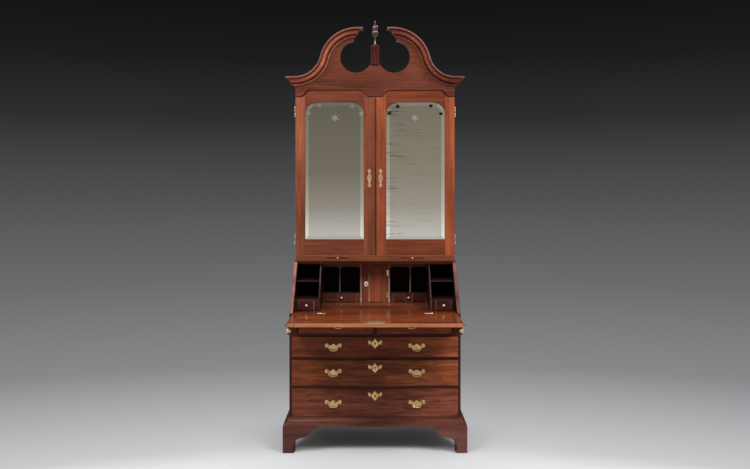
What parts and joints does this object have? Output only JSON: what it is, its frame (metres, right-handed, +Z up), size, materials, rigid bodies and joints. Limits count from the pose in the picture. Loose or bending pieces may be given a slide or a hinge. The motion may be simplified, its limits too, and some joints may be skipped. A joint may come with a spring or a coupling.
{
  "type": "bureau bookcase",
  "caption": "Slant-front writing desk on bracket feet with drawers and a fitted interior under a bookcase with mirrored doors and a swan-neck pediment.",
  "frame": {"origin": "middle of the whole footprint at floor level, with the fall lowered", "axes": "+Z up, +Y to the back, +X to the right as seen from the front"},
  "size_m": [1.058, 0.9398, 2.49],
  "materials": {
    "mahogany": "french polish",
    "brass": "aged, lacquered",
    "mirror_plate": "old bevelled plate",
    "bronzed_wood": "dark, carved"
  },
  "bodies": {
    "carcase": {"desk_sides": "mahogany", "desk_top": "mahogany", "desk_bottom": "mahogany", "desk_back": "mahogany", "drawer_rails": "mahogany", "drawer_partitions": "mahogany", "writing_board": "mahogany", "base_moulding": "mahogany", "bracket_feet": "mahogany", "bookcase_sides": "mahogany", "bookcase_boards": "mahogany", "candle_rail": "mahogany", "bookcase_back": "mahogany", "tympanum": "mahogany", "cornice": "mahogany", "finial": "bronzed_wood", "pigeonhole_partitions": "mahogany", "pigeonhole_shelves": "mahogany", "pigeonhole_valances": "mahogany", "hinge_plates": "brass"},
    "left_door": {"door_frame_left": "mahogany", "mirror_left": "mirror_plate", "backing_left": "mahogany", "door_brasses_left": "brass"},
    "right_door": {"door_frame_right": "mahogany", "mirror_right": "mirror_plate", "backing_right": "mahogany", "door_brasses_right": "brass"},
    "fall": {"fall_panel": "mahogany", "fall_cleats": "mahogany", "fall_brasses": "brass"},
    "left_loper": {"loper_left": "mahogany", "loper_knob_left": "brass"},
    "right_loper": {"loper_right": "mahogany", "loper_knob_right": "brass"},
    "left_candle_slide": {"candle_slide_left": "mahogany", "candle_knob_left": "brass"},
    "right_candle_slide": {"candle_slide_right": "mahogany", "candle_knob_right": "brass"},
    "left_short_drawer": {"short_drawer_left": "mahogany", "short_brasses_left": "brass"},
    "right_short_drawer": {"short_drawer_right": "mahogany", "short_brasses_right": "brass"},
    "upper_long_drawer": {"upper_drawer": "mahogany", "upper_brasses": "brass"},
    "middle_long_drawer": {"middle_drawer": "mahogany", "middle_brasses": "brass"},
    "lower_long_drawer": {"lower_drawer": "mahogany", "lower_brasses": "brass"},
    "left_short_bail": {"short_bail_left": "brass"},
    "right_short_bail": {"short_bail_right": "brass"},
    "upper_bail_pair": {"upper_bails": "brass"},
    "middle_bail_pair": {"middle_bails": "brass"},
    "lower_bail_pair": {"lower_bails": "brass"},
    "prospect": {"prospect_door": "mahogany", "prospect_brasses": "brass"},
    "left_small_drawer": {"small_drawer_left": "mahogany"},
    "right_small_drawer": {"small_drawer_right": "mahogany"},
    "left_end_drawer": {"end_drawer_left": "mahogany"},
    "right_end_drawer": {"end_drawer_right": "mahogany"}
  },
  "joints": [
    {"name": "left_door_swing", "type": "hinge", "parent": "carcase", "child": "left_door", "pos_m": [-0.479, 0.17958, 1.58], "axis": [0, 0, -1], "range_deg": [0, 105]},
    {"name": "right_door_swing", "type": "hinge", "parent": "carcase", "child": "right_door", "pos_m": [0.479, 0.17958, 1.58], "axis": [0, 0, 1], "range_deg": [0, 105]},
    {"name": "fall_swing", "type": "hinge", "parent": "carcase", "child": "fall", "pos_m": [0, -0.09913, 0.775], "axis": [1, 0, 0], "range_deg": [-135, 0]},
    {"name": "left_loper_slide", "type": "slide", "parent": "carcase", "child": "left_loper", "axis": [0, -1, 0], "range_m": [-0.28974, 0]},
    {"name": "right_loper_slide", "type": "slide", "parent": "carcase", "child": "right_loper", "axis": [0, -1, 0], "range_m": [-0.28974, 0]},
    {"name": "left_candle_slide", "type": "slide", "parent": "carcase", "child": "left_candle_slide", "axis": [0, -1, 0], "range_m": [0, 0.16]},
    {"name": "right_candle_slide", "type": "slide", "parent": "carcase", "child": "right_candle_slide", "axis": [0, -1, 0], "range_m": [0, 0.16]},
    {"name": "left_short_slide", "type": "slide", "parent": "carcase", "child": "left_short_drawer", "axis": [0, -1, 0], "range_m": [0, 0.36]},
    {"name": "right_short_slide", "type": "slide", "parent": "carcase", "child": "right_short_drawer", "axis": [0, -1, 0], "range_m": [0, 0.36]},
    {"name": "upper_long_slide", "type": "slide", "parent": "carcase", "child": "upper_long_drawer", "axis": [0, -1, 0], "range_m": [0, 0.36]},
    {"name": "middle_long_slide", "type": "slide", "parent": "carcase", "child": "middle_long_drawer", "axis": [0, -1, 0], "range_m": [0, 0.36]},
    {"name": "lower_long_slide", "type": "slide", "parent": "carcase", "child": "lower_long_drawer", "axis": [0, -1, 0], "range_m": [0, 0.36]},
    {"name": "left_short_bail_swing", "type": "hinge", "parent": "left_short_drawer", "child": "left_short_bail", "pos_m": [-0.206, -0.13103, 0.721], "axis": [-1, 0, 0], "range_deg": [0, 85]},
    {"name": "right_short_bail_swing", "type": "hinge", "parent": "right_short_drawer", "child": "right_short_bail", "pos_m": [0.206, -0.13103, 0.721], "axis": [-1, 0, 0], "range_deg": [0, 85]},
    {"name": "upper_bail_pair_swing", "type": "hinge", "parent": "upper_long_drawer", "child": "upper_bail_pair", "pos_m": [0, -0.13103, 0.595], "axis": [-1, 0, 0], "range_deg": [0, 85]},
    {"name": "middle_bail_pair_swing", "type": "hinge", "parent": "middle_long_drawer", "child": "middle_bail_pair", "pos_m": [0, -0.13103, 0.451], "axis": [-1, 0, 0], "range_deg": [0, 85]},
    {"name": "lower_bail_pair_swing", "type": "hinge", "parent": "lower_long_drawer", "child": "lower_bail_pair", "pos_m": [0, -0.13103, 0.277], "axis": [-1, 0, 0], "range_deg": [0, 85]},
    {"name": "prospect_swing", "type": "hinge", "parent": "carcase", "child": "prospect", "pos_m": [0.0737, 0.27267, 0.9], "axis": [0, 0, 1], "range_deg": [0, 90]},
    {"name": "left_small_slide", "type": "slide", "parent": "carcase", "child": "left_small_drawer", "axis": [0, -1, 0], "range_m": [0, 0.11]},
    {"name": "right_small_slide", "type": "slide", "parent": "carcase", "child": "right_small_drawer", "axis": [0, -1, 0], "range_m": [0, 0.11]},
    {"name": "left_end_slide", "type": "slide", "parent": "carcase", "child": "left_end_drawer", "axis": [0, -1, 0], "range_m": [0, 0.14]},
    {"name": "right_end_slide", "type": "slide", "parent": "carcase", "child": "right_end_drawer", "axis": [0, -1, 0], "range_m": [0, 0.14]}
  ]
}
